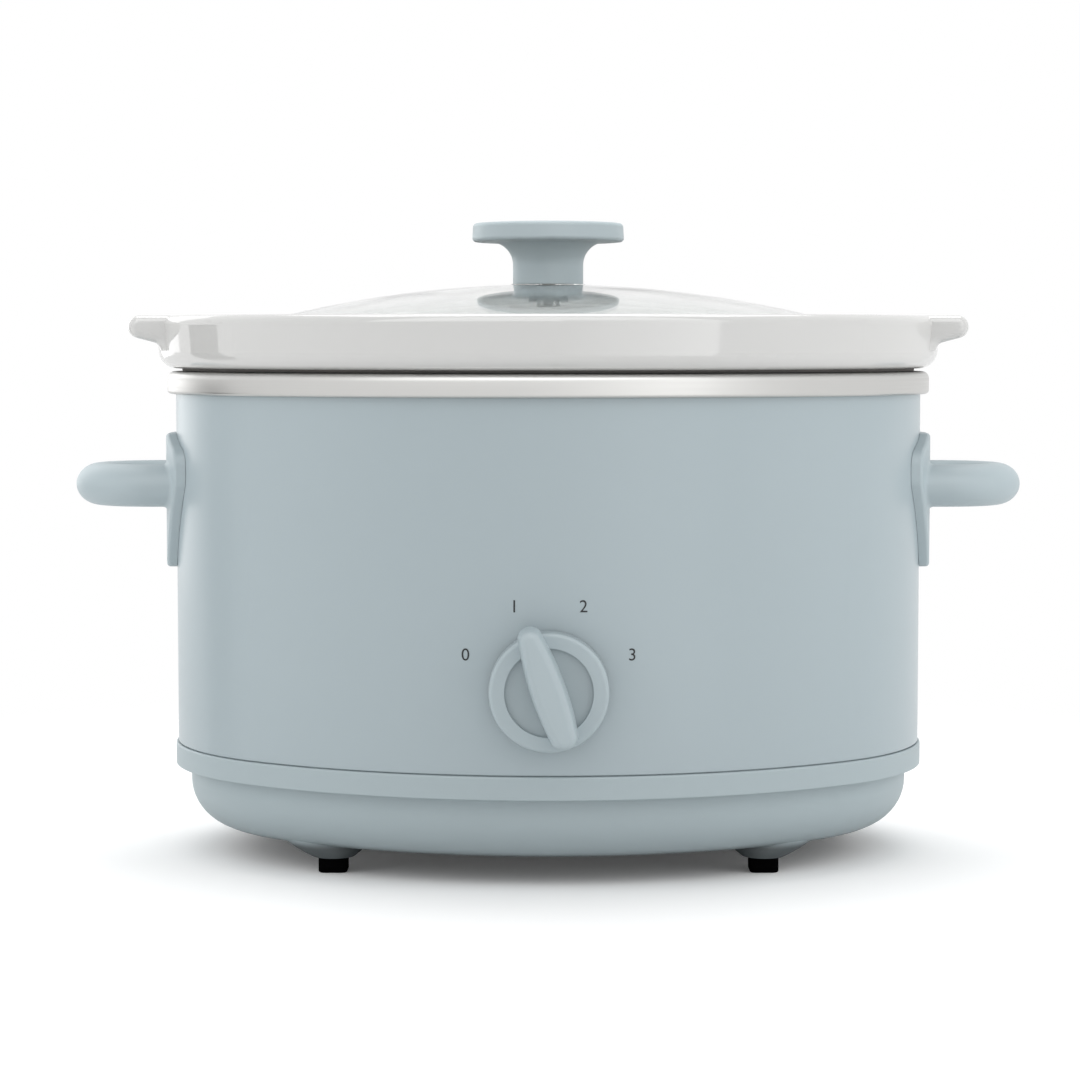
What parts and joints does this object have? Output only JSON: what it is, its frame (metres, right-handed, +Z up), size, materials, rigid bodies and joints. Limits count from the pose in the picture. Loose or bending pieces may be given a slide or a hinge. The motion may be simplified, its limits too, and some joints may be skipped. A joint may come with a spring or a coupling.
{
  "type": "slow cooker",
  "caption": "Oval countertop slow cooker with a painted wall, lift-out stoneware crock, domed glass lid and a rotary heat dial.",
  "frame": {"origin": "on the table, at the middle of the oval that the wall follows", "axes": "+Z up, +X to the right of someone facing the dial, -Y towards that person"},
  "size_m": [0.3718, 0.2488, 0.246],
  "materials": {
    "wall_paint": "satin paint",
    "base_plastic": "satin",
    "trim_plastic": "satin",
    "rim_steel": "brushed",
    "stoneware": "gloss glaze",
    "lid_glass": "clear",
    "foot_rubber": "matt",
    "pan_aluminium": "drawn sheet",
    "heater_wrap": "woven glass sleeve",
    "fastener_steel": "zinc plated",
    "dark_plastic": "moulded",
    "lead_sleeve": "silicone sleeve"
  },
  "bodies": {
    "cooker": {"outer_wrap": "wall_paint", "base_tub": "base_plastic", "handle_left": "trim_plastic", "handle_right": "trim_plastic", "rim_ring": "rim_steel", "foot_front_left": "foot_rubber", "foot_front_right": "foot_rubber", "foot_rear_left": "foot_rubber", "foot_rear_right": "foot_rubber", "cord_gland": "foot_rubber", "heating_pan": "pan_aluminium", "heat_shield": "pan_aluminium", "heater_band": "heater_wrap", "base_screws": "fastener_steel", "shield_spacers": "fastener_steel", "base_nuts": "fastener_steel", "handle_screws": "fastener_steel", "switch_screws": "fastener_steel", "fuse_clip": "fastener_steel", "thermal_fuse": "fastener_steel", "switch_saddle": "dark_plastic", "rotary_switch": "dark_plastic", "terminal_block": "dark_plastic", "supply_leads": "lead_sleeve", "switch_leads": "lead_sleeve"},
    "dial": {"switch_shaft": "fastener_steel", "dial_knob": "trim_plastic"},
    "crock": {"crock": "stoneware"},
    "lid": {"lid_glass": "lid_glass", "lid_knob": "trim_plastic", "lid_screw": "fastener_steel", "lid_washer": "foot_rubber"}
  },
  "joints": [
    {"name": "dial_turn", "type": "hinge", "parent": "cooker", "child": "dial", "pos_m": [0, -0.115, 0.074], "axis": [0, -1, 0], "range_deg": [-86.5, 48.5]},
    {"name": "crock_lift", "type": "slide", "parent": "cooker", "child": "crock", "axis": [0, 0, 1], "range_m": [0, 0.2]},
    {"name": "lid_lift", "type": "slide", "parent": "crock", "child": "lid", "axis": [0, 0, 1], "range_m": [0, 0.15]}
  ]
}
